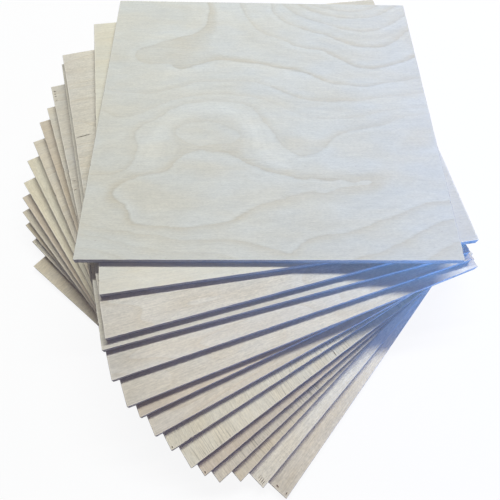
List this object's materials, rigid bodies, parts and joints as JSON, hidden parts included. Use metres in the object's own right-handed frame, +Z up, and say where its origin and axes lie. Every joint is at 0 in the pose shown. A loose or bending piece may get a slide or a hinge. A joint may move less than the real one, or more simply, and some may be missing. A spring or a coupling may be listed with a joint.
{
  "type": "stack of plywood sheets",
  "caption": "Stack of square birch plywood sheets lying face to face, each turned a little from the next so that the corners fan out in a spiral.",
  "frame": {"origin": "middle of the lowest sheet's underside", "axes": "+Z up through the stack; the top sheet's sides lie along X and Y, and its front edge faces -Y"},
  "size_m": [0.4436, 0.4888, 0.0855],
  "materials": {
    "birch_plywood": "sanded bare birch veneer, matt to a faint satin, with darker sawn edges"
  },
  "bodies": {
    "root": {"sheet_01": "birch_plywood", "sheet_02": "birch_plywood", "sheet_03": "birch_plywood", "sheet_04": "birch_plywood", "sheet_05": "birch_plywood", "sheet_06": "birch_plywood", "sheet_07": "birch_plywood", "sheet_08": "birch_plywood", "sheet_09": "birch_plywood", "sheet_10": "birch_plywood", "sheet_11": "birch_plywood", "sheet_12": "birch_plywood", "sheet_13": "birch_plywood", "sheet_14": "birch_plywood", "sheet_15": "birch_plywood"}
  },
  "joints": []
}
